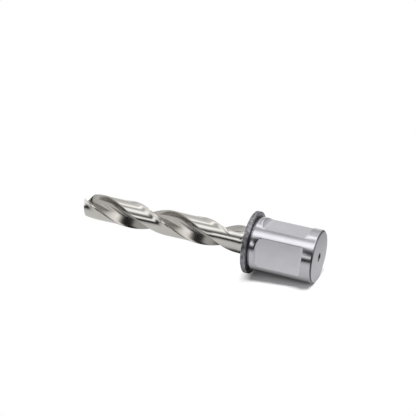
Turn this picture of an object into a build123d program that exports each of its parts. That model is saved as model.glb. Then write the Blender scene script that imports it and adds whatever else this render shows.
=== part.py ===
"""Two-flute twist drill bit held in a flanged side-lock shank with two drive flats.

The tool stands on its shank end: the origin is the centre of that face, +Z runs along the axis
towards the point, -Y is the way the main drive flat faces and +X the second one.
Lengths are in millimetres and angles in degrees.
"""

from build123d import *
from math import asin, atan, cos, degrees, pi, radians, sin, sqrt, tan
import os

# Shank: ground cylinder, flange and the relief groove between them
SHANK_DIAMETER = 19.05
SHANK_LENGTH = 23.4
END_CHAMFER = 0.5
FLANGE_DIAMETER = 22.25
FLANGE_THICKNESS = 1.7
FLANGE_EDGE_BREAK = 0.15
RELIEF_WIDTH = 0.9
RELIEF_DEPTH = 0.3
RELIEF_FACE_DEPTH = 0.2

# Drive flats, milled across the shank and a quarter turn apart
FLAT_DEPTH = 1.65
FLAT_START = 4.9
FLAT_LENGTH = 14.0
FLAT_END_RADIUS = 1.0
FLAT_RUN_OUT_RADIUS = 1.9
FLAT_TURNS = (0, 90)

# Centre hole in the shank end
CENTRE_HOLE_DIAMETER = 2.5
CENTRE_HOLE_DEPTH = 4.0
CENTRE_HOLE_MOUTH = 3.2
CENTRE_HOLE_ANGLE = 60
DRILLED_HOLE_ANGLE = 118

# Drill: plain end in the shank's blind bore, then the fluted body
DRILL_DIAMETER = 9.7
DRILL_REACH = 63.5
PLAIN_DIAMETER = 10.0
SEAT_DEPTH = 16.0
SEAT_CLEARANCE = 0.0
PLAIN_END_CHAMFER = 0.4

# Flutes: right-hand helix, ground to a thin web
HELIX_ANGLE = 29.0
FLUTES = 2
FLUTE_ARC = 91.0
LIP_OFFSET = 0.9
FACE_LENGTH = 3.1
HEEL_BEVEL = 0.5
HEEL_MARGIN_ARC = 20.0
MARGIN_ARC = 12.0
BODY_CLEARANCE = 0.3
HEEL_CLEARANCE = 0.12
RUN_OUT_GAP = 2.0
RUN_OUT_WHEEL_RADIUS = 20.0
RUN_OUT_OVERLAP = 0.3
RUN_OUT_STEPS = 8
TAPER_LENGTH = 4.0

# Point
POINT_ANGLE = 140
LIP_CLEARANCE = 6.0
LIP_DIRECTION = -49.6

shank_radius = SHANK_DIAMETER / 2
flange_radius = FLANGE_DIAMETER / 2
flange_front = SHANK_LENGTH + FLANGE_THICKNESS
flats_bottom = FLAT_START - FLAT_END_RADIUS
flats_top = FLAT_START + FLAT_LENGTH + FLAT_RUN_OUT_RADIUS
drill_radius = DRILL_DIAMETER / 2
plain_radius = PLAIN_DIAMETER / 2
body_radius = drill_radius - BODY_CLEARANCE
heel_radius = drill_radius - HEEL_CLEARANCE
seat_floor = flange_front - SEAT_DEPTH
tip_corner = flange_front + DRILL_REACH
lead = pi * DRILL_DIAMETER / tan(radians(HELIX_ANGLE))
cutter_reach = plain_radius + 2.0


def polar(radius, angle):
    """A point in the XY plane from its distance and direction."""
    return (radius * cos(radians(angle)), radius * sin(radians(angle)))


# Where the edges of the flute's section meet the outside of the drill, seen from the point, with the
# lip along +X: the lip's corner, the heel across the flute and the step of the next margin.
corner_angle = degrees(asin(LIP_OFFSET / drill_radius))
corner = polar(drill_radius, corner_angle)
face_end = (corner[0] - FACE_LENGTH, LIP_OFFSET)
heel_angle = corner_angle + FLUTE_ARC
heel = polar(heel_radius, heel_angle)
heel_margin_end = heel_angle + HEEL_MARGIN_ARC
margin_start = 180 + corner_angle - MARGIN_ARC


def rim_arc(radius, start, end):
    """An arc about the drill's axis from one direction to another."""
    return ThreePointArc(polar(radius, start), polar(radius, (start + end) / 2), polar(radius, end))


def flute_edges():
    """One flute and its heel: straight face, tangent arc and the margin behind the heel."""
    return [
        Line(corner, face_end),
        TangentArc(face_end, heel, tangent=(-1, 0)),
        rim_arc(heel_radius, heel_angle, heel_margin_end),
    ]


def outside_edges():
    """The rest of one land: body clearance between two steps and the margin up to the next lip."""
    return [
        Line(polar(heel_radius, heel_margin_end), polar(body_radius, heel_margin_end)),
        rim_arc(body_radius, heel_margin_end, margin_start),
        Line(polar(body_radius, margin_start), polar(drill_radius, margin_start)),
        rim_arc(drill_radius, margin_start, 180 + corner_angle),
    ]


def bevel_heels(face, count):
    """The same face with the sharp corner at each heel taken off by a narrow bevel."""
    for turn in range(count):
        place = polar(heel_radius, heel_angle + 360 / FLUTES * turn)
        face = chamfer(face.vertices().sort_by_distance(place)[0], HEEL_BEVEL)
    return face


def section_face(edges):
    """The face inside one flute's worth of edges, repeated around the axis."""
    turns = [360 / FLUTES * turn for turn in range(FLUTES)]
    return make_face(Curve() + [edge.rotate(Axis.Z, turn) for turn in turns for edge in edges])


def fluted_section():
    """The drill's cross-section with its first lip along +X."""
    return bevel_heels(section_face([*flute_edges(), *outside_edges()]), FLUTES)


def unfluted_section():
    """The same cross-section with its flutes still full, for the length where they run out."""
    bridge = [
        rim_arc(heel_radius, corner_angle, heel_margin_end),
        Line(polar(drill_radius, corner_angle), polar(heel_radius, corner_angle)),
    ]
    return section_face([*bridge, *outside_edges()])


def helix_turn(height):
    """How far the helix has turned at a height, so that the lips reach the tip in their place."""
    return LIP_DIRECTION + 360 * (height - tip_corner) / lead


def twisted(section, bottom, top):
    """A section twisted along the helix between two heights, in spans of under half a turn."""
    spans = int((top - bottom) / (lead / 2)) + 1
    span = (top - bottom) / spans
    body = None
    for index in range(spans):
        foot = bottom + index * span
        placed = Pos(0, 0, foot) * Rot(0, 0, helix_turn(foot)) * section
        piece = Solid.extrude_linear_with_rotation(
            placed.face(), (0, 0, foot), (0, 0, span), 360 * span / lead
        )
        body = piece if body is None else body + piece
    return body


# The run-out: the wheel lifts out of the flute along a circle while the blank keeps turning.
flute_arc_edge = TangentArc(face_end, heel, tangent=(-1, 0))
flute_arc_centre = flute_arc_edge.arc_center
web_radius = sqrt(flute_arc_centre.X**2 + flute_arc_centre.Y**2) - flute_arc_edge.radius
flute_depth = drill_radius - web_radius
lift_direction = flute_arc_centre.normalized()
run_out_length = sqrt(2 * RUN_OUT_WHEEL_RADIUS * flute_depth - flute_depth**2)
run_out_end = flange_front + RUN_OUT_GAP
run_out_start = run_out_end + run_out_length
taper_start = run_out_start - TAPER_LENGTH


def run_out_profile(distance):
    """The flute's cutter outline at a distance below the full-depth flute."""
    lift = RUN_OUT_WHEEL_RADIUS - sqrt(RUN_OUT_WHEEL_RADIUS**2 - distance**2)
    outline = Curve() + [
        *flute_edges(),
        Line(polar(heel_radius, heel_margin_end), polar(cutter_reach, heel_margin_end)),
        rim_arc(cutter_reach, corner_angle, heel_margin_end),
        Line(polar(cutter_reach, corner_angle), corner),
    ]
    height = run_out_start - distance
    place = Pos(0, 0, height) * Rot(0, 0, helix_turn(height)) * Pos(lift_direction * lift)
    return place * bevel_heels(make_face(outline), 1)


def run_out_cutter():
    """The shape that the wheel sweeps as it leaves one flute."""
    last = run_out_length + RUN_OUT_OVERLAP
    profiles = [run_out_profile(last * step / RUN_OUT_STEPS) for step in range(RUN_OUT_STEPS + 1)]
    return loft(profiles)


def flank_cutter():
    """What the point grind takes off behind the first lip: all above a cone tipped to the heel."""
    half_angle = POINT_ANGLE / 2
    cone_height = 2 * DRILL_DIAMETER / tan(radians(half_angle))
    cone = Cone(2 * DRILL_DIAMETER, 0, cone_height, align=(Align.CENTER, Align.CENTER, Align.MAX))
    lip_height = corner[0] / tan(radians(half_angle))
    flank = Pos(0, LIP_OFFSET, lip_height) * Rot(LIP_CLEARANCE, 0, 0) * cone
    block = Pos(0, 0, -cone_height / 3) * Box(
        2 * DRILL_DIAMETER, 4 * DRILL_DIAMETER, DRILL_DIAMETER, align=(Align.MIN, Align.CENTER, Align.MIN)
    )
    web_side = degrees(atan(flute_arc_centre.Y / flute_arc_centre.X))
    return Rot(0, 0, web_side - 90) * block - flank


def make_drill():
    """Twist drill: plain end, flute run-outs, taper to the fluted body and ground point."""
    plain = Pos(0, 0, seat_floor) * extrude(Circle(plain_radius), taper_start - seat_floor)
    plain = chamfer(plain.edges().group_by(Axis.Z)[0], PLAIN_END_CHAMFER)
    taper = Pos(0, 0, taper_start) * Cone(
        plain_radius, body_radius, TAPER_LENGTH, align=(Align.CENTER, Align.CENTER, Align.MIN)
    )
    shoulder = plain + taper + twisted(unfluted_section(), taper_start, run_out_start)
    cutter = run_out_cutter()
    for turn in range(FLUTES):
        shoulder -= cutter.rotate(Axis.Z, 360 / FLUTES * turn)
    drill = shoulder + twisted(fluted_section(), run_out_start, tip_corner + drill_radius)
    flank = Pos(0, 0, tip_corner) * Rot(0, 0, helix_turn(tip_corner)) * flank_cutter()
    for turn in range(FLUTES):
        drill -= flank.rotate(Axis.Z, 360 / FLUTES * turn)
    return drill


def flat_cutter():
    """One drive flat: the milled floor with a tight radius at the end and a run-out radius."""
    floor = shank_radius - FLAT_DEPTH
    outer = floor + FLAT_DEPTH + FLAT_END_RADIUS + FLAT_RUN_OUT_RADIUS
    outline = FilletPolyline(
        (outer, flats_bottom),
        (floor, flats_bottom),
        (floor, flats_top),
        (outer, flats_top),
        radius=[FLAT_END_RADIUS, FLAT_RUN_OUT_RADIUS],
    )
    profile = make_face(outline + Line((outer, flats_top), (outer, flats_bottom)))
    return extrude(Plane.XZ * profile, shank_radius, both=True)


def make_shank():
    """Side-lock shank: ground cylinder, relief groove, flange, flats, blind bore, centre hole."""
    body = extrude(Circle(shank_radius), SHANK_LENGTH)
    body = chamfer(body.edges().group_by(Axis.Z)[0], END_CHAMFER)
    flange = Pos(0, 0, SHANK_LENGTH) * extrude(Circle(flange_radius), FLANGE_THICKNESS)
    flange = chamfer(flange.edges(), FLANGE_EDGE_BREAK)
    body = body + flange - relief_groove()
    for turn in FLAT_TURNS:
        body -= flat_cutter().rotate(Axis.Z, turn - 90)
    bore = Pos(0, 0, seat_floor) * extrude(Circle(plain_radius + SEAT_CLEARANCE), SEAT_DEPTH)
    return body - bore - centre_hole()


def relief_groove():
    """The turned groove in the corner behind the flange, cut into the shank and the flange."""
    length = RELIEF_WIDTH + RELIEF_FACE_DEPTH
    ring = Circle(shank_radius + RELIEF_DEPTH) - Circle(shank_radius - RELIEF_DEPTH)
    return Pos(0, 0, SHANK_LENGTH - RELIEF_WIDTH) * extrude(ring, length)


def centre_hole():
    """Drilled centre with a countersunk mouth and a conical end."""
    hole_radius = CENTRE_HOLE_DIAMETER / 2
    mouth_radius = CENTRE_HOLE_MOUTH / 2
    mouth_depth = (mouth_radius - hole_radius) / tan(radians(CENTRE_HOLE_ANGLE / 2))
    tip_depth = hole_radius / tan(radians(DRILLED_HOLE_ANGLE / 2))
    outline = Polyline(
        (0, 0),
        (mouth_radius, 0),
        (hole_radius, mouth_depth),
        (hole_radius, CENTRE_HOLE_DEPTH),
        (0, CENTRE_HOLE_DEPTH + tip_depth),
        close=True,
    )
    return revolve(Plane.XZ * make_face(outline), Axis.Z)


def export_parts():
    """Write each piece to its own STEP file."""
    os.makedirs("parts", exist_ok=True)
    export_step(make_drill(), "parts/twist_drill.step")
    export_step(make_shank(), "parts/flatted_shank.step")


export_parts()
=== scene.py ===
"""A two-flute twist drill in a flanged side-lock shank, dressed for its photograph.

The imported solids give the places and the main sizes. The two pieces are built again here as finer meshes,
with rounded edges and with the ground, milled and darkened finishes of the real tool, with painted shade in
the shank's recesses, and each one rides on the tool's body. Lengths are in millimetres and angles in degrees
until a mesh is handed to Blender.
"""

import logging
import math
from dataclasses import dataclass, field
from enum import Enum, IntEnum

import bmesh
import bpy
import numpy as np
from mathutils import Matrix, Vector

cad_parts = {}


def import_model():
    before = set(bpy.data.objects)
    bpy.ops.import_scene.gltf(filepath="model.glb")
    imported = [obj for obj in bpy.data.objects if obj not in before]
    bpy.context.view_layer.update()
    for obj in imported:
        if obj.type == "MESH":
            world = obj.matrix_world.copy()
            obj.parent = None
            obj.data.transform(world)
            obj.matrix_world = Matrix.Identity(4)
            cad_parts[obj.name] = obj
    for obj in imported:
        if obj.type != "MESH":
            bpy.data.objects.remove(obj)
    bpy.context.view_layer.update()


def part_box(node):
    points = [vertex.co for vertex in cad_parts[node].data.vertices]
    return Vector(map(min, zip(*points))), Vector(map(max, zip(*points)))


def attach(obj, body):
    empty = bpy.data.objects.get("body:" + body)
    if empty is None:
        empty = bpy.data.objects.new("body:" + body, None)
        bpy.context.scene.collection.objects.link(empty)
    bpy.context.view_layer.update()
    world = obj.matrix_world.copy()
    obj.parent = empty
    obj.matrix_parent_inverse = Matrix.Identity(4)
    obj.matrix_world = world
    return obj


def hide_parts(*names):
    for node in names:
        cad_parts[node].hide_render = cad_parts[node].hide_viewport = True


LOG = logging.getLogger("twist_drill")
MILLIMETRE = 0.001
GRIND_MAP = "Grind"
AXIS = Vector((0, 0, 1))

# The stretch of a noise pattern's values in which most of it lies, and how fine the grinding marks are.
NOISE_LOW = 0.3
NOISE_HIGH = 0.7
MARK_DETAIL = 4.0

# How often the point grind's height is worked out again, each time closer.
SETTLING_ROUNDS = 12

# The weight at which normals follow the faces' areas as they are.
AREA_WEIGHT = 50

# What a node's input can be given, and where a face's corners lie on the grinding map.
Socket = bpy.types.NodeSocket
Value = Socket | float | tuple | Vector
Inputs = dict[str | int, Value]
Grind = list[tuple[float, float]]


def polar(radius: float, angle: float) -> np.ndarray:
    """A point in the plane across the tool, from its distance to the axis and its direction."""
    return np.array([radius * math.cos(math.radians(angle)), radius * math.sin(math.radians(angle))])


def crosswise(radius: float, angle: float) -> Vector:
    """A point across the tool as a vector in space, at height zero."""
    return Vector((*polar(radius, angle), 0.0))


def turned(points: np.ndarray, angle: float) -> np.ndarray:
    """Points in the plane across the tool, turned about the axis."""
    cosine, sine = math.cos(math.radians(angle)), math.sin(math.radians(angle))
    return points @ np.array([[cosine, sine], [-sine, cosine]])


def arc(radius: float, start: float, end: float, count: int) -> np.ndarray:
    """Evenly spaced points on a circle about the axis, both ends included."""
    return np.array([polar(radius, angle) for angle in np.linspace(start, end, count)])


def bent(start: np.ndarray, corner: np.ndarray, end: np.ndarray, shares: np.ndarray) -> np.ndarray:
    """Points on a smooth bend.

    Args:
        start: where the bend begins.
        corner: the corner that it rounds off.
        end: where it ends.
        shares: how far along it each point lies, from 0 to 1.

    Returns:
        One point for each share.
    """
    share = shares[:, None]
    return (1 - share) ** 2 * start + 2 * share * (1 - share) * corner + share**2 * end


def guarded(count: int, length: float, guard: float, widest: float = 0.2) -> np.ndarray:
    """Fractions along an edge with a point close to each end, so that a smooth normal stays in the corner.

    Args:
        count: how many points there are between the two close ones.
        length: the edge's length.
        guard: the distance from each end to its close point.
        widest: the largest share of the edge that the distance may take up.

    Returns:
        Rising fractions from 0 to 1.
    """
    close = min(guard / length, widest)
    return np.concatenate([[0.0], np.linspace(close, 1.0 - close, count), [1.0]])


def along(curve: np.ndarray, fractions: np.ndarray) -> np.ndarray:
    """Points on a polyline at fractions of its length.

    Args:
        curve: the polyline's points.
        fractions: where along it, from 0 to 1.

    Returns:
        One point for each fraction.
    """
    steps = np.linalg.norm(np.diff(curve, axis=0), axis=1)
    travelled = np.concatenate([[0.0], np.cumsum(steps)])
    places = np.asarray(fractions) * travelled[-1]
    return np.stack([np.interp(places, travelled, curve[:, axis]) for axis in range(curve.shape[1])], axis=1)


def between(low: range, high: range) -> list[list[int]]:
    """The faces between two rings of points, of which one may be a single point.

    Args:
        low: the numbers of one ring's points.
        high: the numbers of the other's.

    Returns:
        The numbers of each face's corners.
    """
    count = max(len(low), len(high))
    faces = []
    for column in range(count):
        after = (column + 1) % count
        corners = [low[column % len(low)], low[after % len(low)]]
        corners += [high[after % len(high)], high[column % len(high)]]
        faces.append(list(dict.fromkeys(corners)))
    return faces


@dataclass
class Sheet:
    """The points, faces, finishes and grinding map of one piece, gathered before Blender makes its mesh."""

    points: list[list[float]] = field(default_factory=list)
    faces: list[list[int]] = field(default_factory=list)
    finishes: list[int] = field(default_factory=list)
    grind: list[Grind] = field(default_factory=list)

    def add_points(self, places: np.ndarray, heights: np.ndarray | float) -> range:
        """Adds points.

        Args:
            places: where they lie across the tool.
            heights: their heights, or the one that they share.

        Returns:
            Their numbers.
        """
        first = len(self.points)
        self.points.extend(np.column_stack([places, np.broadcast_to(heights, len(places))]).tolist())
        return range(first, len(self.points))

    def places(self, numbers: range | list[int]) -> np.ndarray:
        """Where some of the points lie across the tool."""
        return np.array([self.points[number][:2] for number in numbers])

    def add_face(self, corners: list[int], finish: IntEnum, grind: Grind | None = None) -> None:
        """Adds a face.

        Args:
            corners: the numbers of its points.
            finish: its finish.
            grind: where each corner lies on the grinding map, if the finish uses it.
        """
        self.faces.append(corners)
        self.finishes.append(int(finish))
        self.grind.append(grind or [(0.0, 0.0)] * len(corners))

    def to_object(self, name: str, materials: list[bpy.types.Material]) -> bpy.types.Object:
        """Makes the Blender object.

        Args:
            name: the piece's name.
            materials: one for each finish number.

        Returns:
            The smooth-shaded object, in metres.
        """
        mesh = bpy.data.meshes.new(name)
        mesh.from_pydata((np.array(self.points) * MILLIMETRE).tolist(), [], self.faces)
        for material in materials:
            mesh.materials.append(material)
        mesh.polygons.foreach_set("material_index", self.finishes)
        layer = mesh.uv_layers.new(name=GRIND_MAP)
        layer.data.foreach_set("uv", np.array([uv for face in self.grind for uv in face]).ravel())
        mesh.validate()
        mesh.update()
        mesh.shade_smooth()
        piece = bpy.data.objects.new(name, mesh)
        bpy.context.scene.collection.objects.link(piece)
        return piece


def even_normals(piece: bpy.types.Object) -> None:
    """Weights each point's normal by the area round it, so that wide faces look flat up to their edges.

    Args:
        piece: the object that gets the modifier.
    """
    weighted = piece.modifiers.new("even_normals", "WEIGHTED_NORMAL")
    weighted.mode = "FACE_AREA"
    weighted.weight = AREA_WEIGHT


class DrillFinish(IntEnum):
    """The finishes on the drill, in the order of its material slots."""

    LAND = 0
    FLUTE = 1
    HEEL = 2
    POINT = 3


@dataclass(frozen=True)
class Column:
    """One run of points across the drill's section, which shares a finish."""

    finish: DrillFinish
    count: int


# Half the drill's section, from one lip to the next: flute, heel's round, body, hollow and margin.
HALF_SECTION = (
    Column(DrillFinish.FLUTE, 34),
    Column(DrillFinish.HEEL, 12),
    Column(DrillFinish.LAND, 16),
    Column(DrillFinish.LAND, 14),
    Column(DrillFinish.LAND, 7),
)


@dataclass
class TwistDrill:
    """The drill: plain end, the flutes' run-outs, the fluted body and the ground point."""

    bottom: float
    flange_front: float
    reach: float = 63.5
    radius: float = 4.85
    plain_radius: float = 5.0
    end_chamfer: float = 0.4
    helix_angle: float = 29.0
    flute_arc: float = 91.0
    lip_offset: float = 0.8
    face_length: float = 3.4
    lip_hook: float = 16.0
    hook_length: float = 0.8
    arc_start: float = 270.0
    heel_wall_start: float = 200.0
    heel_wall_lean: float = 85.0
    heel_round_in_flute: float = 1.2
    heel_round_on_land: float = 0.6
    widest_heel_round: float = 0.25
    margin_arc: float = 6.0
    margin_fillet: float = 22.0
    body_clearance: float = 0.3
    heel_clearance: float = 0.2
    run_out_gap: float = 2.0
    wheel_radius: float = 20.0
    fullest_run_out: float = 0.995
    blank_overshoot_at_lip: float = 1.0
    blank_overshoot_at_heel: float = 2.0
    taper_length: float = 11.0
    point_angle: float = 140.0
    lip_clearance: float = 6.0
    lip_direction: float = -50.2
    edge_guard: float = 0.035
    row_height: float = 0.35
    plain_rows: int = 16
    run_out_rows: int = 26
    taper_rows: int = 14
    point_zone: float = 2.6
    point_rows: tuple[float, ...] = (0.35, 0.7, 0.9, 0.985, 1.0)
    cap_rings: int = 12
    cap_edge: float = 0.992
    cap_widest: float = 0.94
    cap_narrowest: float = 0.06
    face_points: int = 60
    arc_points: int = 90
    wall_points: int = 40
    lead_in_points: int = 12
    lead_out_points: int = 24
    name: str = "twist_drill_steel"

    def __post_init__(self) -> None:
        """Works out the places that follow from the sizes."""
        self.lead = 2 * math.pi * self.radius / math.tan(math.radians(self.helix_angle))
        self.corner_height = self.flange_front + self.reach
        self.corner_angle = math.degrees(math.asin(self.lip_offset / self.radius))
        self.corner = polar(self.radius, self.corner_angle)
        self.face_level = self.lip_offset - math.radians(self.lip_hook) * self.hook_length / 2
        self.face_end = np.array([self.corner[0] - self.face_length, self.face_level])
        self.heel_radius = self.radius - self.heel_clearance
        self.body_radius = self.radius - self.body_clearance
        self.heel_angle = self.corner_angle + self.flute_arc
        self.heel = polar(self.heel_radius, self.heel_angle)
        self.margin_start = 180 + self.corner_angle - self.margin_arc
        self.body_end = self.margin_start - self.margin_fillet
        self.arc_radius = self.tangent_arc_radius()
        self.arc_centre = self.face_end + np.array([0.0, self.arc_radius])
        centre_distance = float(np.linalg.norm(self.arc_centre))
        self.lift_direction = self.arc_centre / centre_distance
        depth = self.radius - (centre_distance - self.arc_radius)
        self.run_out_length = math.sqrt(2 * self.wheel_radius * depth - depth**2)
        self.run_out_end = self.flange_front + self.run_out_gap
        self.run_out_start = self.run_out_end + self.run_out_length
        self.taper_start = self.run_out_start - self.taper_length
        self.lip_height = self.corner[0] / math.tan(math.radians(self.point_angle / 2))
        self.flute_curve = self.full_flute_curve()
        self.wheel_curve = self.whole_wheel_curve()
        self.full_section = self.section(self.corner_height)

    def tangent_arc_radius(self) -> float:
        """The radius of the arc that leaves the lip's face smoothly and reaches the heel."""
        across = self.heel - self.face_end
        return float(across @ across / (2 * across[1]))

    def helix_turn(self, height: float) -> float:
        """How far the helix has turned at a height."""
        return self.lip_direction + 360 * (height - self.corner_height) / self.lead

    def full_flute_curve(self) -> np.ndarray:
        """The flute from the lip's corner to the heel.

        Returns:
            The points of a fine polyline.
        """
        across_face = np.linspace(self.corner[0], self.face_end[0], self.face_points)[:-1]
        hooked = np.maximum(across_face - self.corner[0] + self.hook_length, 0.0)
        levels = self.face_level + math.radians(self.lip_hook) / (2 * self.hook_length) * hooked**2
        angles = np.linspace(self.arc_start, self.heel_wall_start, self.arc_points)
        bow = np.array([self.arc_centre + polar(self.arc_radius, angle) for angle in angles])
        leaving = polar(1.0, self.heel_wall_start - 90)
        arriving = polar(1.0, self.heel_wall_lean)
        reach = np.linalg.solve(np.column_stack([leaving, arriving]), self.heel - bow[-1])
        bend = bow[-1] + leaving * reach[0]
        wall = bent(bow[-1], bend, self.heel, np.linspace(0, 1, self.wall_points)[1:])
        return np.vstack([np.column_stack([across_face, levels]), bow, wall])

    def whole_wheel_curve(self) -> np.ndarray:
        """The grinding wheel's outline: the flute's curve, carried on past the blank at both ends.

        Returns:
            The points of the outline.
        """
        outward = self.corner / np.linalg.norm(self.corner) * self.blank_overshoot_at_lip
        lead_in = np.linspace(self.corner + outward, self.corner, self.lead_in_points)[:-1]
        rim = self.flute_curve[-1] - self.flute_curve[-2]
        rim /= np.linalg.norm(rim)
        beyond = np.linspace(0, self.blank_overshoot_at_heel, self.lead_out_points)[1:, None]
        return np.vstack([lead_in, self.flute_curve, self.flute_curve[-1] + rim * beyond])

    def land_radius(self, angle: float, height: float) -> float:
        """The blank's radius in a direction, before its flutes are ground.

        Args:
            angle: direction in the section's own frame.
            height: height of the section.

        Returns:
            The radius of the land, the taper or the plain end, whichever stands out most.
        """
        if height <= self.taper_start:
            return self.plain_radius
        angle = (angle - self.corner_angle) % 180 + self.corner_angle
        if angle < self.heel_angle:
            land = self.heel_radius
        elif angle < self.body_end:
            fall = (angle - self.heel_angle) / (self.body_end - self.heel_angle)
            land = self.heel_radius + fall * (self.body_radius - self.heel_radius)
        else:
            rise = min((angle - self.body_end) / self.margin_fillet, 1.0)
            land = self.body_radius + (self.radius - self.body_radius) * rise**2
        share = min((height - self.taper_start) / self.taper_length, 1.0)
        cone = self.plain_radius + share * (self.body_radius - self.plain_radius)
        return max(land, cone)

    def flute_points(self, height: float) -> np.ndarray:
        """The flute's curve at a height, lifted where the wheel runs out and cut off at the blank.

        Args:
            height: height of the section.

        Returns:
            The part of the curve that lies in the blank.
        """
        if height >= self.run_out_start:
            return self.flute_curve
        drop = min(self.run_out_start - height, self.run_out_length * self.fullest_run_out)
        lift = self.wheel_radius - math.sqrt(self.wheel_radius**2 - drop**2)
        curve = self.wheel_curve + self.lift_direction * lift
        angles = np.degrees(np.arctan2(curve[:, 1], curve[:, 0]))
        blank = np.array([self.land_radius(angle, height) for angle in angles])
        room = blank - np.linalg.norm(curve, axis=1)
        inside = np.flatnonzero(room > 0)
        if len(inside) < 2:
            middle = len(curve) // 2
            return curve[middle - 1:middle + 1]

        def at_blank(kept: int, cut: int) -> np.ndarray:
            """The place on the blank between a point that is kept and its neighbour that is cut off."""
            share = room[kept] / (room[kept] - room[cut])
            return (curve[kept] + share * (curve[cut] - curve[kept]))[None]

        first, last = inside[0], inside[-1]
        points = [curve[first:last + 1]]
        if first > 0:
            points.insert(0, at_blank(first, first - 1))
        if last + 1 < len(curve):
            points.append(at_blank(last, last + 1))
        return np.vstack(points)

    def half_section(self, height: float) -> np.ndarray:
        """Half the section at a height, with the same number of points whatever the height.

        Args:
            height: height of the section.

        Returns:
            The points from one lip round to just before the next.
        """
        flute, heel, body, hollow, margin = [column.count for column in HALF_SECTION]
        curve = self.flute_points(height)
        length = float(np.linalg.norm(np.diff(curve, axis=0), axis=1).sum())
        share_left = min(1.0, self.widest_heel_round * length / self.heel_round_in_flute)
        first_angle, last_angle = [math.degrees(math.atan2(end[1], end[0])) for end in (curve[0], curve[-1])]
        round_end = last_angle + math.degrees(share_left * self.heel_round_on_land / self.radius)
        inner_share = 1 - share_left * self.heel_round_in_flute / length
        inner = along(curve, inner_share * guarded(flute - 2, length, self.edge_guard))
        over = polar(self.land_radius(round_end, height), round_end)
        pieces = [
            inner,
            bent(inner[-1], curve[-1], over, np.linspace(0, 1, heel + 1)[1:]),
            self.land_run(round_end, self.body_end, body + 1, height)[1:],
            self.land_run(self.body_end, self.margin_start, hollow + 1, height)[1:],
            self.land_run(self.margin_start, 180 + first_angle, margin + 2, height)[1:-1],
        ]
        return np.vstack(pieces)

    def land_run(self, start: float, end: float, count: int, height: float) -> np.ndarray:
        """Evenly spaced points on the land between two directions."""
        angles = np.linspace(start, end, count)
        return np.array([polar(self.land_radius(angle, height), angle) for angle in angles])

    def section(self, height: float) -> np.ndarray:
        """The whole section at a height, not turned: one half and its copy across the axis."""
        half = self.half_section(height)
        return np.vstack([half, -half])

    def strip_finishes(self) -> list[DrillFinish]:
        """The finish of each strip across the whole section, in the points' order.

        Returns:
            One finish for each point, for the strip that follows it.
        """
        flute, *others = HALF_SECTION
        strips = [flute.finish] * (flute.count - 1)
        for column in others:
            strips += [column.finish] * column.count
        return (strips + [DrillFinish.LAND]) * 2

    def flank_height(self, place: np.ndarray) -> float:
        """The point grind's height over the lip corners at a place in the tip's own frame."""
        return min(self.one_flank(place), self.one_flank(-place))

    def one_flank(self, place: np.ndarray) -> float:
        """The height of the cone that is ground behind the first lip, tipped down towards its heel.

        Args:
            place: a place in the tip's own frame.

        Returns:
            The cone's height there over the lip corners.
        """
        slope = 1 / math.tan(math.radians(self.point_angle / 2))
        tilt = math.radians(self.lip_clearance)
        offset = place[1] - self.lip_offset
        height = 0.0
        for _ in range(SETTLING_ROUNDS):
            reach = math.hypot(place[0], offset * math.cos(tilt) + height * math.sin(tilt))
            height = (offset * math.sin(tilt) - slope * reach) / math.cos(tilt)
        return self.lip_height + height

    def column_top(self, place: np.ndarray) -> float:
        """The height at which the point grind cuts off one point of the fluted section.

        Args:
            place: the point in the section's own frame.

        Returns:
            The height of the cut.
        """
        height = self.corner_height
        for _ in range(SETTLING_ROUNDS):
            turn = 360 * (height - self.corner_height) / self.lead
            height = self.corner_height + self.flank_height(turned(place[None], turn)[0])
        return height

    def row_heights(self) -> np.ndarray:
        """The heights of the rows of points, from the plain end to below the point.

        Returns:
            Rising heights.
        """
        plain = np.linspace(self.bottom + self.end_chamfer, self.run_out_end, self.plain_rows)
        run_out = np.linspace(self.run_out_end, self.taper_start, self.run_out_rows)[1:]
        taper = np.linspace(self.taper_start, self.run_out_start, self.taper_rows)[1:]
        below_point = self.corner_height - self.point_zone
        count = int((below_point - self.run_out_start) / self.row_height)
        fluted = np.linspace(self.run_out_start, below_point, count)[1:]
        return np.concatenate([plain, run_out, taper, fluted])

    def stack_rows(self, sheet: Sheet) -> list[range]:
        """Adds the rows of points, each turned by the helix, up to the edge of the point grind.

        Args:
            sheet: the drill's points and faces.

        Returns:
            The numbers of each row's points.
        """
        heights = self.row_heights()
        rows = []
        for height in heights:
            rows.append(sheet.add_points(turned(self.section(height), self.helix_turn(height)), height))
        tops = np.array([self.column_top(place) for place in self.full_section])
        for share in self.point_rows:
            levels = heights[-1] + (tops - heights[-1]) * share
            places = zip(self.full_section, levels)
            ring = [turned(place[None], self.helix_turn(level))[0] for place, level in places]
            rows.append(sheet.add_points(ring, levels))
        return rows

    def skin_rows(self, sheet: Sheet, rows: list[range]) -> None:
        """Adds the faces between the rows, with the grinding map along and across the section.

        Args:
            sheet: the drill's points and faces.
            rows: the numbers of each row's points.
        """
        closed = np.vstack([self.full_section, self.full_section[:1]])
        steps = np.linalg.norm(np.diff(closed, axis=0), axis=1)
        across = np.concatenate([[0.0], np.cumsum(steps)])
        strips = self.strip_finishes()
        for low, high in zip(rows[:-1], rows[1:]):
            bottom, top = sheet.points[low[0]][2], sheet.points[high[0]][2]
            for column, corners in enumerate(between(low, high)):
                start, end = across[column], across[column + 1]
                plain = sheet.points[high[column]][2] < self.run_out_end
                finish = DrillFinish.LAND if plain else strips[column]
                sheet.add_face(corners, finish, [(start, bottom), (end, bottom), (end, top), (start, top)])

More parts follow.
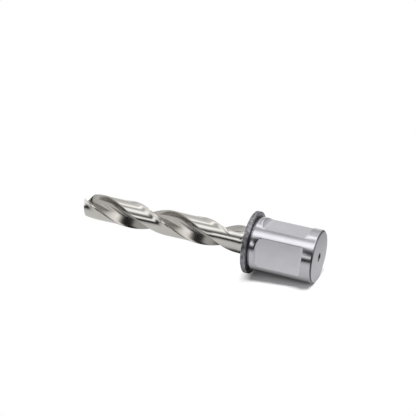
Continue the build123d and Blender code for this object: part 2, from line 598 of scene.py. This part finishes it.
    def close_point(self, sheet: Sheet, rim: range) -> None:
        """Closes the drill at its point with rings on the two ground flanks, down to a point on the axis.

        Args:
            sheet: the drill's points and faces.
            rim: the numbers of the points on the rim.
        """
        shares = (self.cap_edge, *np.linspace(self.cap_widest, self.cap_narrowest, self.cap_rings))
        rings = [sheet.places(rim) * share for share in shares] + [np.zeros((1, 2))]
        tip_turn = self.helix_turn(self.corner_height)
        outer = rim
        for ring in rings:
            heights = [self.corner_height + self.flank_height(place) for place in turned(ring, -tip_turn)]
            inner = sheet.add_points(ring, heights)
            for corners in between(outer, inner):
                sheet.add_face(corners, DrillFinish.POINT, sheet.places(corners).tolist())
            outer = inner

    def close_end(self, sheet: Sheet, rim: range) -> None:
        """Closes the drill's plain end, inside the shank, with its chamfer and a flat face.

        Args:
            sheet: the drill's points and faces.
            rim: the numbers of the points on the rim.
        """
        share = (self.plain_radius - self.end_chamfer) / self.plain_radius
        inner = sheet.add_points(sheet.places(rim) * share, self.bottom)
        for corners in [*between(inner, rim), list(reversed(inner))]:
            sheet.add_face(corners, DrillFinish.LAND)

    def make(self, materials: list[bpy.types.Material]) -> bpy.types.Object:
        """Builds the drill.

        Args:
            materials: one for each drill finish.

        Returns:
            The drill's object.
        """
        sheet = Sheet()
        rows = self.stack_rows(sheet)
        self.skin_rows(sheet, rows)
        self.close_point(sheet, rows[-1])
        self.close_end(sheet, rows[0])
        piece = sheet.to_object(self.name, materials)
        even_normals(piece)
        return piece


class ShankFinish(IntEnum):
    """The finishes on the shank, in the order of its material slots."""

    GROUND = 0
    FLAT = 1
    FLANGE = 2
    END = 3
    # Painted shade: near-black steel in the relief groove, the centre hole and the bore, where shade falls.
    GROOVE = 4
    CHAMFER = 5


@dataclass(frozen=True)
class ProfileCorner:
    """One corner of the shank's turned profile and the finish of the surface that follows it."""

    radius: float
    height: float
    rounding: float
    finish: ShankFinish

    def place(self) -> np.ndarray:
        """The corner as a point of the profile."""
        return np.array([self.radius, self.height])


@dataclass
class SideLockShank:
    """The shank: ground cylinder, two drive flats, relief groove, dark flange, bore and centre hole."""

    length: float
    radius: float = 9.525
    flange_radius: float = 11.125
    flange_thickness: float = 1.7
    end_chamfer: float = 0.5
    flange_break: float = 0.15
    relief_width: float = 0.9
    relief_shade: float = 0.35
    relief_depth: float = 0.3
    relief_face_depth: float = 0.2
    bore_radius: float = 5.0
    bore_depth: float = 16.0
    hole_radius: float = 1.25
    hole_mouth_radius: float = 1.6
    hole_depth: float = 4.0
    hole_mouth_depth: float = 0.606
    hole_tip: float = 0.751
    flat_depth: float = 1.65
    flat_start: float = 4.9
    flat_length: float = 13.9
    flat_end_radius: float = 1.0
    flat_run_out_radius: float = 2.0
    flat_turns: tuple[float, ...] = (-90.0, 0.0)
    flat_edge_break: float = 0.14
    edge_break: float = 0.08
    corner_points: int = 5
    flat_end_points: int = 13
    flat_run_out_points: int = 25
    flat_edge_segments: int = 3
    segments: int = 288
    name: str = "side_lock_shank_steel"

    def end_radius(self) -> float:
        """The radius of the end face, inside its chamfer."""
        return self.radius - self.end_chamfer

    def flange_back(self) -> float:
        """The height of the flange's rear face."""
        return self.length - self.flange_thickness

    def profile(self) -> list[ProfileCorner]:
        """The corners of the turned profile.

        Returns:
            The corners, from the bottom of the centre hole round to the bore's floor.
        """
        front, back = self.length, self.flange_back()
        groove = self.radius - self.relief_depth
        seat = self.radius + self.relief_depth
        rim = self.flange_radius - self.flange_break
        fine = self.edge_break
        ground, flange = ShankFinish.GROUND, ShankFinish.FLANGE
        # dark stands for the painted shade in the centre hole, the relief groove and the bore.
        end, dark = ShankFinish.END, ShankFinish.GROOVE
        rows = (
            (0.0, self.hole_depth + self.hole_tip, 0.0, dark),
            (self.hole_radius, self.hole_depth, 0.0, dark),
            (self.hole_radius, self.hole_mouth_depth, fine, dark),
            (self.hole_mouth_radius, 0.0, fine, end),
            (self.end_radius(), 0.0, fine, ShankFinish.CHAMFER),
            (self.radius, self.end_chamfer, fine, ground),
            (self.radius, back - self.relief_width, fine, ground),
            (groove, back - self.relief_width, fine, ground),
            (groove, back - self.relief_shade, 0.0, dark),
            (groove, back + self.relief_face_depth, fine, dark),
            (seat, back + self.relief_face_depth, fine, dark),
            (seat, back, fine, flange),
            (rim, back, fine / 2, flange),
            (self.flange_radius, back + self.flange_break, fine / 2, flange),
            (self.flange_radius, front - self.flange_break, fine / 2, flange),
            (rim, front, fine / 2, flange),
            (self.bore_radius, front, fine, dark),
            (self.bore_radius, front - self.bore_depth, 0.0, dark),
            (0.0, front - self.bore_depth, 0.0, dark),
        )
        return [ProfileCorner(*row) for row in rows]

    def rounded_profile(self) -> tuple[list[np.ndarray], list[ShankFinish]]:
        """The profile with its corners rounded.

        Returns:
            The points as (radius, height), and the finish of the stretch after each one.
        """
        corners = self.profile()
        points, finishes = [], []
        for index, corner in enumerate(corners):
            here = corner.place()
            if corner.rounding == 0:
                points.append(here)
                finishes.append(corner.finish)
                continue
            before = corners[index - 1].place() - here
            after = corners[index + 1].place() - here
            start = here + before / np.linalg.norm(before) * corner.rounding
            end = here + after / np.linalg.norm(after) * corner.rounding
            points.extend(bent(start, here, end, np.linspace(0, 1, self.corner_points)))
            finishes.extend([corner.finish] * self.corner_points)
        return points, finishes

    def turned_body(self, materials: list[bpy.types.Material]) -> bpy.types.Object:
        """The body as it comes off the lathe, before its flats are milled.

        Args:
            materials: one for each shank finish.

        Returns:
            The body's object.
        """
        points, finishes = self.rounded_profile()
        sheet = Sheet()
        rings = []
        for radius, height in points:
            count = self.segments if radius else 1
            rings.append(sheet.add_points(arc(radius, 0, 360, count + 1)[:-1], height))
        for low, high, finish in zip(rings[:-1], rings[1:], finishes):
            for corners in between(low, high):
                sheet.add_face(corners, finish)
        return sheet.to_object(self.name, materials)

    def flat_outline(self) -> list[tuple[float, float]]:
        """The outline of the milling cutter's path for a drive flat, seen from the side.

        Returns:
            The outline's points as (distance from the axis, height).
        """
        floor = self.radius - self.flat_depth
        outer = self.radius + self.flat_end_radius
        low = self.flat_start - self.flat_end_radius
        high = self.flat_start + self.flat_length
        outline = [(outer, low), (floor + self.flat_end_radius, low)]
        for place in arc(self.flat_end_radius, 270, 180, self.flat_end_points)[1:]:
            outline.append((floor + self.flat_end_radius + place[0], self.flat_start + place[1]))
        for place in arc(self.flat_run_out_radius, 180, 90, self.flat_run_out_points):
            outline.append((floor + self.flat_run_out_radius + place[0], high + place[1]))
        outline.append((outer + self.flat_run_out_radius, high + self.flat_run_out_radius))
        outline.append((outer + self.flat_run_out_radius, low))
        return outline

    def flat_cutter(self, turn: float, materials: list[bpy.types.Material]) -> bpy.types.Object:
        """The milling cutter's path for one drive flat, as a solid.

        Args:
            turn: the direction that the flat faces, about the axis.
            materials: one for each shank finish.

        Returns:
            A prism whose faces have the flats' finish.
        """
        distances, heights = zip(*self.flat_outline())
        sheet = Sheet()
        low, high = [
            sheet.add_points([(distance, side) for distance in distances], heights)
            for side in (-self.radius, self.radius)
        ]
        for corners in [*between(high, low), list(low), list(reversed(high))]:
            sheet.add_face(corners, ShankFinish.FLAT)
        cutter = sheet.to_object("flat_cutter", materials)
        cutter.data.transform(Matrix.Rotation(math.radians(turn), 4, "Z"))
        work = bmesh.new()
        work.from_mesh(cutter.data)
        bmesh.ops.recalc_face_normals(work, faces=work.faces)
        work.to_mesh(cutter.data)
        work.free()
        return cutter

    def break_flat_edges(self, mesh: bpy.types.Mesh) -> None:
        """Rounds the edges where a flat meets the ground cylinder.

        Args:
            mesh: the milled body.
        """
        work = bmesh.new()
        work.from_mesh(mesh)
        rims = []
        for edge in work.edges:
            finishes = {face.material_index for face in edge.link_faces}
            if len(edge.link_faces) == 2 and int(ShankFinish.FLAT) in finishes and len(finishes) == 2:
                rims.append(edge)
        bmesh.ops.bevel(
            work,
            geom=rims,
            offset=self.flat_edge_break * MILLIMETRE,
            segments=self.flat_edge_segments,
            profile=0.5,
            affect="EDGES",
            clamp_overlap=False,
            material=int(ShankFinish.GROUND),
        )
        work.to_mesh(mesh)
        work.free()

    def make(self, materials: list[bpy.types.Material]) -> bpy.types.Object:
        """Builds the shank: turns the body, mills the two flats and breaks their edges.

        Args:
            materials: one for each shank finish.

        Returns:
            The shank's object.
        """
        body = self.turned_body(materials)
        cutters = [self.flat_cutter(turn, materials) for turn in self.flat_turns]
        for cutter in cutters:
            cut = body.modifiers.new("mill_flat", "BOOLEAN")
            cut.operation = "DIFFERENCE"
            cut.solver = "EXACT"
            cut.object = cutter
            cut.material_mode = "INDEX"
        graph = bpy.context.evaluated_depsgraph_get()
        milled = bpy.data.meshes.new_from_object(body.evaluated_get(graph))
        body.modifiers.clear()
        body.data = milled
        for cutter in cutters:
            bpy.data.objects.remove(cutter)
        self.break_flat_edges(milled)
        milled.shade_smooth()
        even_normals(body)
        return body


def grey(level: float) -> tuple[float, float, float, float]:
    """A grey of a level, as a node's colour."""
    return (level, level, level, 1.0)


class Wiring:
    """Adds nodes to a material or to the world, and joins them."""

    def __init__(self, owner: bpy.types.ID, empty: bool = False) -> None:
        """Opens the owner's nodes.

        Args:
            owner: the material or the world.
            empty: whether the nodes that it starts with are taken out.
        """
        owner.use_nodes = True
        self.tree = owner.node_tree
        if empty:
            self.tree.nodes.clear()

    def feed(self, node: bpy.types.Node, inputs: Inputs) -> None:
        """Sets a node's inputs.

        Args:
            node: the node.
            inputs: a number, a colour or another node's output for each input, by its name or number.
        """
        for name, value in inputs.items():
            if isinstance(value, Socket):
                self.tree.links.new(value, node.inputs[name])
            else:
                node.inputs[name].default_value = value

    def add(self, kind: str, inputs: Inputs | None = None, **settings: str) -> bpy.types.Node:
        """Adds a shader node.

        Args:
            kind: its kind.
            inputs: what its inputs are given, as in feed.
            settings: its own settings, by name.

        Returns:
            The node.
        """
        node = self.tree.nodes.new("ShaderNode" + kind)
        for name, setting in settings.items():
            setattr(node, name, setting)
        self.feed(node, inputs or {})
        return node

    def calculate(self, operation: str, *values: Value) -> Socket:
        """One step of arithmetic on some values."""
        return self.add("Math", dict(enumerate(values)), operation=operation).outputs[0]

    def dot(self, ray: Socket, direction: Vector) -> Socket:
        """How far a ray points in a direction."""
        return self.add("VectorMath", {0: ray, 1: direction}, operation="DOT_PRODUCT").outputs["Value"]

    def noise(self, place: Socket, scale: float, detail: float) -> Socket:
        """A soft random pattern, with a number of finer patterns in it."""
        return self.add("TexNoise", {"Vector": place, "Scale": scale, "Detail": detail}).outputs["Fac"]

    def blend(self, kind: str, share: Value, low: Socket, high: Socket) -> Socket:
        """A value or a colour between two others."""
        return self.add("Mix", {"Factor": share, "A": low, "B": high}, data_type=kind).outputs["Result"]

    def choose(self, test: Socket, otherwise: Socket, chosen: Socket) -> Socket:
        """One shader where a test holds and another where it doesn't."""
        return self.add("MixShader", {0: test, 1: otherwise, 2: chosen}).outputs[0]

    def glow(self, kind: str, colour: Value = grey(1.0), strength: float = 1.0) -> Socket:
        """Light from a surface or from the surroundings, white unless a colour is given."""
        return self.add(kind, {"Color": colour, "Strength": strength}).outputs[0]

    def spread(self, value: Socket, old: tuple, new: tuple = (0.0, 1.0), curve: str = "LINEAR") -> Socket:
        """Carries a value over from one range to another, each given by its two ends."""
        ends = dict(zip(("From Min", "From Max", "To Min", "To Max"), (*old, *new)))
        return self.add("MapRange", {"Value": value, **ends}, interpolation_type=curve).outputs["Result"]

    def ramp(self, value: Socket, stops: list[tuple[float, tuple]], interpolation: str = "LINEAR") -> Socket:
        """A colour that depends on a value.

        Args:
            value: the value, from 0 to 1.
            stops: the rising values at which the colours are given, each with its colour.
            interpolation: how the ramp goes from one colour to the next.

        Returns:
            The colour.
        """
        ramp = self.add("ValToRGB", {"Fac": value})
        ramp.color_ramp.interpolation = interpolation
        elements = ramp.color_ramp.elements
        elements.remove(elements[1])
        for index, (position, colour) in enumerate(stops):
            element = elements.new(position) if index else elements[0]
            element.position = position
            element.color = colour
        return ramp.outputs["Color"]


class MapSource(Enum):
    """Where a finish takes the coordinates of its marks from."""

    OBJECT = "object"
    GRIND = "grind"


@dataclass(frozen=True)
class SteelFinish:
    """A bare steel surface: its colour, how it varies, its polish and the marks that grinding left."""

    name: str
    light: tuple[float, float, float]
    dark: tuple[float, float, float]
    roughness: tuple[float, float]
    mark_scale: tuple[float, float, float]
    mark_depth: float
    mark_source: MapSource
    cloud_scale: float = 180.0
    cloud_detail: float = 3.0
    mark_rough_share: float = 0.5

    def make(self) -> bpy.types.Material:
        """Builds the finish's material.

        Returns:
            A metallic material with marks and clouds in its colour, roughness and bump.
        """
        material = bpy.data.materials.new(self.name)
        wiring = Wiring(material)
        place = marked = wiring.add("TexCoord").outputs["Object"]
        if self.mark_source is MapSource.GRIND:
            marked = wiring.add("UVMap", uv_map=GRIND_MAP).outputs["UV"]
        stretched = wiring.add("Mapping", {"Vector": marked, "Scale": self.mark_scale}).outputs["Vector"]
        marks = wiring.noise(stretched, 1.0, MARK_DETAIL)
        clouds = wiring.noise(place, self.cloud_scale, self.cloud_detail)
        unevenness = wiring.blend("FLOAT", self.mark_rough_share, clouds, marks)
        relief = {"Strength": 1.0, "Distance": self.mark_depth * MILLIMETRE, "Height": marks}
        tones = [(NOISE_LOW, (*self.dark, 1.0)), (NOISE_HIGH, (*self.light, 1.0))]
        wiring.feed(wiring.tree.nodes["Principled BSDF"], {
            "Metallic": 1.0,
            "Base Color": wiring.ramp(clouds, tones),
            "Roughness": wiring.spread(unevenness, (NOISE_LOW, NOISE_HIGH), self.roughness),
            "Normal": wiring.add("Bump", relief).outputs["Normal"],
        })
        return material


DRILL_FINISHES = {
    DrillFinish.LAND: SteelFinish(
        "drill_ground_land", (0.71, 0.69, 0.655), (0.64, 0.62, 0.585), (0.08, 0.13), (260, 260, 9000),
        0.0004, MapSource.OBJECT),
    DrillFinish.FLUTE: SteelFinish(
        "drill_ground_flute", (0.47, 0.45, 0.423), (0.39, 0.372, 0.347), (0.19, 0.29), (1.4, 0.50, 1.0),
        0.0060, MapSource.GRIND),
    DrillFinish.HEEL: SteelFinish(
        "drill_heel", (0.50, 0.482, 0.458), (0.34, 0.327, 0.308), (0.16, 0.24), (7.0, 0.4, 1.0),
        0.0010, MapSource.GRIND),
    DrillFinish.POINT: SteelFinish(
        "drill_point", (0.90, 0.89, 0.87), (0.80, 0.79, 0.77), (0.18, 0.26), (9.0, 1.2, 1.0),
        0.0010, MapSource.GRIND),
}

SHANK_FINISHES = {
    ShankFinish.GROUND: SteelFinish(
        "shank_ground_cylinder", (0.665, 0.658, 0.698), (0.61, 0.603, 0.64), (0.12, 0.17), (200, 200, 7000),
        0.0002, MapSource.OBJECT),
    ShankFinish.FLAT: SteelFinish(
        "shank_milled_flat", (0.835, 0.827, 0.875), (0.775, 0.767, 0.811), (0.33, 0.36), (300, 300, 1600),
        0.0001, MapSource.OBJECT),
    ShankFinish.FLANGE: SteelFinish(
        "shank_dark_flange", (0.442, 0.436, 0.470), (0.085, 0.083, 0.096), (0.28, 0.46), (700, 700, 2400),
        0.0020, MapSource.OBJECT, 900.0, 5.0),
    ShankFinish.END: SteelFinish(
        "shank_turned_end", (0.605, 0.609, 0.652), (0.565, 0.569, 0.608), (0.26, 0.32), (600, 600, 600),
        0.0002, MapSource.OBJECT),
    # Painted shade in the relief groove, the centre hole and the bore.
    ShankFinish.GROOVE: SteelFinish(
        "shank_recess_painted_shade", (0.19, 0.187, 0.204), (0.08, 0.079, 0.086), (0.35, 0.50), (700, 700, 2400),
        0.0020, MapSource.OBJECT),
    # The end chamfer is coloured far darker than the end face beside it.
    ShankFinish.CHAMFER: SteelFinish(
        "shank_dark_chamfer", (0.22, 0.22, 0.235), (0.14, 0.14, 0.15), (0.28, 0.38), (700, 700, 2400),
        0.0005, MapSource.OBJECT),
}


@dataclass(frozen=True)
class PhotoView:
    """Where the photograph was taken from, in the tool's frame.

    The roll and the view on the shank's end are in radians, as they come out of the fit to its edges.
    """

    top_direction: float = 21.5
    axis_roll: float = 0.219163
    end_view: float = 0.316528
    distance: float = 480.0
    lens: float = 120.35
    sensor: float = 36.0
    centre_right: float = -38.39
    centre_up: float = 17.0
    nearest: float = 10.0
    farthest: float = 20000.0

    def top(self) -> Vector:
        """The direction across the axis that is uppermost in the picture."""
        return crosswise(1.0, self.top_direction)

    def near(self) -> Vector:
        """The direction across the axis that faces the camera."""
        return crosswise(1.0, self.top_direction - 90)

    def axes(self) -> tuple[Vector, Vector, Vector]:
        """The camera's own axes.

        Returns:
            Its right, up and back directions.
        """
        top, near = self.top(), self.near()
        sine, cosine = math.sin(self.end_view), math.cos(self.end_view)
        across, rise = math.cos(self.axis_roll), math.sin(self.axis_roll)
        right = -sine * across * near + rise * top - cosine * across * AXIS
        up = sine * rise * near + across * top + cosine * rise * AXIS
        back = cosine * near - sine * AXIS
        return right, up, back

    def make_camera(self) -> None:
        """Makes the camera and gives it to the scene."""
        right, up, back = self.axes()
        lens = bpy.data.cameras.new("photo_camera")
        lens.lens = self.lens
        lens.sensor_width = self.sensor
        lens.clip_start = self.nearest * MILLIMETRE
        lens.clip_end = self.farthest * MILLIMETRE
        camera = bpy.data.objects.new("photo_camera", lens)
        place = right * self.centre_right + up * self.centre_up + back * self.distance
        turn = Matrix((right, up, back)).transposed().to_4x4()
        camera.matrix_world = Matrix.Translation(place * MILLIMETRE) @ turn
        bpy.context.scene.collection.objects.link(camera)
        bpy.context.scene.camera = camera


@dataclass(frozen=True)
class StudioRing:
    """One ring of surroundings.

    Each band is a direction round the tool, 0 behind it, 90 over it and 180 at the camera, with its
    brightness there.
    """

    name: str
    bands: tuple[tuple[float, float], ...]

    def colour(self, wiring: Wiring, turn: Socket) -> Socket:
        """The ring's brightness round the tool.

        Args:
            wiring: the world's nodes.
            turn: the share of a turn round the tool.

        Returns:
            The brightness as a grey colour.
        """
        stops = [(angle / 360, grey(level)) for angle, level in self.bands]
        shown = wiring.ramp(turn, stops, "EASE")
        shown.node.label = self.name
        return shown


# The rings lie one after another along the tool, from the shank's end to the point.
STUDIO_RINGS = (
    StudioRing("shank_side", (
        (0, 0.78), (30, 0.46), (56, 0.50), (70, 0.78), (86, 0.95), (98, 1.30),
        (112, 1.60), (132, 1.80), (142, 1.50), (150, 0.80), (157, 0.25),
        (163, 0.05), (172, 0.02), (198, 0.02), (208, 0.05), (216, 0.20),
        (230, 0.66), (359, 0.78),
    )),
    StudioRing("camera_side", (
        (0, 0.78), (30, 0.42), (46, 0.50), (60, 1.20), (75, 1.40), (90, 1.40),
        (104, 1.50), (120, 1.90), (136, 2.00), (145, 1.50), (152, 0.75),
        (159, 0.25), (165, 0.05), (173, 0.02), (196, 0.02), (206, 0.05),
        (214, 0.20), (230, 0.66), (359, 0.78),
    )),
    StudioRing("round_the_shank", (
        (0, 0.82), (20, 1.02), (32, 0.69), (44, 0.48), (58, 0.55), (74, 0.71),
        (86, 0.70), (92, 0.92), (99, 1.60), (104, 1.33), (110, 0.76), (117, 0.50),
        (121, 0.50), (126, 0.78), (133, 1.28), (144, 1.50), (150, 1.25),
        (156, 0.68), (162, 0.24), (169, 0.06), (179, 0.03), (184, 0.25),
        (188, 0.95), (191, 1.05), (195, 0.62), (199, 0.12), (205, 0.01),
        (212, 0.02), (218, 0.10), (230, 0.66), (359, 0.74),
    )),
    StudioRing("round_the_drill", (
        (0, 0.80), (20, 1.02), (32, 0.82), (44, 0.60), (58, 0.64), (74, 0.78),
        (86, 0.84), (92, 1.04), (99, 1.58), (104, 1.30), (110, 0.76), (117, 0.54),
        (121, 0.54), (126, 0.74), (133, 1.18), (144, 1.36), (150, 1.15),
        (156, 0.62), (162, 0.30), (168, 0.14), (173, 0.16), (178, 0.55),
        (183, 1.25), (187, 1.35), (191, 1.05), (195, 0.50), (199, 0.12),
        (204, 0.01), (210, 0.05), (218, 0.30), (230, 0.66), (359, 0.80),
    )),
    StudioRing("point_side", (
        (0, 0.95), (40, 0.95), (60, 0.80), (90, 0.90), (140, 0.96), (160, 0.90),
        (176, 1.00), (190, 1.10), (200, 0.95), (212, 0.65), (230, 0.55),
        (359, 0.95),
    )),
)

# Between which slopes along the tool's axis one ring goes over to the next.
RING_CHANGES = ((-0.24, -0.10), (0.12, 0.20), (0.27, 0.31), (0.48, 0.58))


@dataclass(frozen=True)
class FloorPatch:
    """How a floor changes with the distance from a line under the tool, given by its two ends' heights.

    Beyond either end, distances along the tool are stretched. Each level is given with its distance. The
    patches
    paint light and shade on the floors: a glow that darkens towards the line, and a plain white glow beyond
    them.
    """

    low: float
    high: float
    low_stretch: float
    high_stretch: float
    levels: tuple[tuple[float, float], ...]

    def level(self, wiring: Wiring, floor_radius: float) -> Socket:
        """The patch's level at each point of a floor.

        Args:
            wiring: the nodes of the floor's material.
            floor_radius: the floor's radius.

        Returns:
            The level as a grey colour.
        """
        sides = wiring.add("SeparateXYZ", {0: wiring.add("TexCoord").outputs["Object"]}).outputs
        beyond = wiring.calculate("SUBTRACT", sides["Y"], self.high * MILLIMETRE)
        beyond = wiring.calculate("MULTIPLY", beyond, self.high_stretch)
        short = wiring.calculate("SUBTRACT", sides["Y"], self.low * MILLIMETRE)
        short = wiring.calculate("MULTIPLY", short, -self.low_stretch)
        outside = wiring.calculate("MAXIMUM", wiring.calculate("MAXIMUM", beyond, short), 0.0)
        reach = wiring.add("CombineXYZ", {"X": sides["X"], "Y": outside}).outputs[0]
        distance = wiring.add("VectorMath", {0: reach}, operation="LENGTH").outputs["Value"]
        share = wiring.calculate("DIVIDE", distance, floor_radius * MILLIMETRE)
        return wiring.ramp(share, [(near / floor_radius, grey(level)) for near, level in self.levels])


# Painted light: beyond this patch round the shank the floor glows plain white, which covers the shadows that
# fall there.
WHITE_ROUND_TOOL = FloorPatch(4.0, 13.0, 1.4, 1.4, ((14.0, 0.0), (20.0, 1.0)))
# Painted shadow and painted reflection: the glow that the steel sees in the table, dark at the line where
# the tool rests and brighter farther out.
PAINTED_SHADOW_FLOOR_IN_STEEL = FloorPatch(2.0, 24.0, 4.0, 0.35, (
    (0.0, 0.02), (3.0, 0.04), (4.5, 0.10), (6.0, 0.26), (8.0, 0.50), (10.0, 0.62), (14.0, 0.68),
    (20.0, 0.70), (30.0, 0.70), (40.0, 0.66), (55.0, 0.58), (85.0, 0.40), (140.0, 0.20), (190.0, 0.07),
))


@dataclass(frozen=True)
class Studio:
    """The pale floors, the soft lamp and the surroundings that the steel reflects."""

    view: PhotoView
    ambient: float = 0.46
    floor_colour: float = 0.95
    floor_radius: float = 190.0
    floor_segments: int = 96
    standing_gap: float = 0.05
    lamp_power: float = 1.5
    lamp_size: float = 175.0
    lamp_distance: float = 420.0
    lamp_aim: float = 12.0
    lamp_lean: float = -7.0
    lamp_turn: float = 14.0

    def make_world(self) -> None:
        """Makes the surroundings: white to the camera, banded to the steel and plain to all else."""
        world = bpy.data.worlds.new("studio")
        bpy.context.scene.world = world
        wiring = Wiring(world, empty=True)
        ray = wiring.add("TexCoord").outputs["Generated"]
        over, behind = wiring.dot(ray, self.view.top()), wiring.dot(ray, -self.view.near())
        share = wiring.calculate("DIVIDE", wiring.calculate("ARCTAN2", over, behind), 2 * math.pi)
        turn = wiring.calculate("WRAP", share, 1.0, 0.0)
        slope = wiring.dot(ray, AXIS)
        shown, *others = [ring.colour(wiring, turn) for ring in STUDIO_RINGS]
        for change, colour in zip(RING_CHANGES, others):
            share = wiring.spread(slope, change, curve="SMOOTHSTEP")
            shown = wiring.blend("RGBA", share, shown, colour)
        steel = wiring.glow("Background", shown)
        plain = wiring.glow("Background", strength=self.ambient)
        path = wiring.add("LightPath").outputs
        unseen = wiring.choose(path["Is Glossy Ray"], plain, steel)
        seen = wiring.choose(path["Is Camera Ray"], unseen, wiring.glow("Background"))
        wiring.add("OutputWorld", {"Surface": seen})

    def floor_material(self, name: str, camera_only: bool) -> bpy.types.Material:
        """A pale floor that is seen and lit from its front, and isn't there from behind. Beyond a patch it
        shows painted light, a plain white glow, and where the steel sees it, it is a glow with painted
        shadow.

        Args:
            name: the material's name.
            camera_only: whether only the camera sees it, so that the steel doesn't reflect it.

        Returns:
            The floor's material.
        """
        material = bpy.data.materials.new(name)
        wiring = Wiring(material, empty=True)
        matt = wiring.add("BsdfDiffuse", {"Color": grey(self.floor_colour)}).outputs[0]
        clear = wiring.add("BsdfTransparent").outputs[0]
        away = WHITE_ROUND_TOOL.level(wiring, self.floor_radius)
        # Painted light: a plain white glow beyond the patch covers the shadows there.
        seen = wiring.choose(away, matt, wiring.glow("Emission"))
        unseen = clear
        if not camera_only:
            # Painted shadow: to all but the camera this floor is a glow that darkens towards where the tool
            # rests.
            unseen = wiring.glow("Emission", PAINTED_SHADOW_FLOOR_IN_STEEL.level(wiring, self.floor_radius))
        lit = wiring.choose(wiring.add("LightPath").outputs["Is Camera Ray"], unseen, seen)
        shown = wiring.choose(wiring.add("NewGeometry").outputs["Backfacing"], lit, clear)
        wiring.add("OutputMaterial", {"Surface": shown})
        return material

    def make_floor(
        self, name: str, origin: Vector, normal: Vector, along_tool: Vector, camera_only: bool
    ) -> None:
        """Makes a round floor.

        Args:
            name: the floor's name.
            origin: the point that its patches are measured from.
            normal: which way it faces.
            along_tool: the direction in which its patches are measured.
            camera_only: whether only the camera sees it.
        """
        disc = bmesh.new()
        radius = self.floor_radius * MILLIMETRE
        bmesh.ops.create_circle(disc, cap_ends=True, segments=self.floor_segments, radius=radius)
        mesh = bpy.data.meshes.new(name)
        disc.to_mesh(mesh)
        disc.free()
        mesh.materials.append(self.floor_material(name, camera_only))
        floor = bpy.data.objects.new(name, mesh)
        up = normal.normalized()
        ahead = (along_tool - along_tool.dot(up) * up).normalized()
        turn = Matrix((ahead.cross(up), ahead, up)).transposed().to_4x4()
        floor.matrix_world = Matrix.Translation(origin * MILLIMETRE) @ turn
        bpy.context.scene.collection.objects.link(floor)

    def make_lamp(self, up: Vector) -> None:
        """Makes the soft lamp over the tool.

        Args:
            up: the direction away from the photograph's table.
        """
        lamp = bpy.data.lights.new("soft_lamp", "AREA")
        lamp.shape = "DISK"
        lamp.size = self.lamp_size * MILLIMETRE
        lamp.energy = self.lamp_power
        holder = bpy.data.objects.new("soft_lamp", lamp)
        lean = -self.view.near() * math.tan(math.radians(self.lamp_lean))
        over = (up.normalized() + lean - AXIS * math.tan(math.radians(self.lamp_turn))).normalized()
        place = AXIS * self.lamp_aim + over * self.lamp_distance
        turn = over.to_track_quat("Z", "Y").to_matrix().to_4x4()
        holder.matrix_world = Matrix.Translation(place * MILLIMETRE) @ turn
        holder.visible_glossy = False
        bpy.context.scene.collection.objects.link(holder)


@dataclass(frozen=True)
class PhotoTable:
    """The table that the tool lies on in the photograph: it touches the flange's rim and the shank's end."""

    flange_radius: float
    flange_back: float
    end_radius: float
    lean: float = -4.0

    def normal(self) -> Vector:
        """The direction that the table faces."""
        slope = math.atan((self.flange_radius - self.end_radius) / self.flange_back)
        return crosswise(math.cos(slope), self.lean) + AXIS * math.sin(slope)

    def touch(self) -> Vector:
        """The point of the shank's end that rests on the table."""
        return crosswise(-self.end_radius, self.lean)


def give(piece: bpy.types.Object, node: str) -> None:
    """Ties a finished piece to the tool's body and hides the solid that it stands for.

    Args:
        piece: the finished piece.
        node: the solid's name.
    """
    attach(piece, "root")
    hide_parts(node)
    LOG.info("%s: %d faces, stands for %s", piece.name, len(piece.data.polygons), node)


def main() -> None:
    """Builds the tool's pieces, then the studio and the camera."""
    logging.basicConfig(level=logging.INFO, format="%(message)s")
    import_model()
    drill_low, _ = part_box("twist_drill")
    _, shank_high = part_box("flatted_shank")
    drill = TwistDrill(bottom=drill_low[2] / MILLIMETRE, flange_front=shank_high[2] / MILLIMETRE)
    shank = SideLockShank(length=drill.flange_front)
    drill_materials = [DRILL_FINISHES[finish].make() for finish in DrillFinish]
    shank_materials = [SHANK_FINISHES[finish].make() for finish in ShankFinish]
    give(drill.make(drill_materials), "twist_drill")
    give(shank.make(shank_materials), "flatted_shank")
    view = PhotoView()
    view.make_camera()
    studio = Studio(view)
    studio.make_world()
    table = PhotoTable(shank.flange_radius, shank.flange_back(), shank.end_radius())
    studio.make_floor("photo_table", table.touch(), table.normal(), AXIS, camera_only=False)
    studio.make_floor("standing_floor", AXIS * -studio.standing_gap, AXIS, view.top(), camera_only=True)
    studio.make_lamp(table.normal())
    bpy.context.scene.view_settings.view_transform = "Standard"


if __name__ == "__main__":
    main()
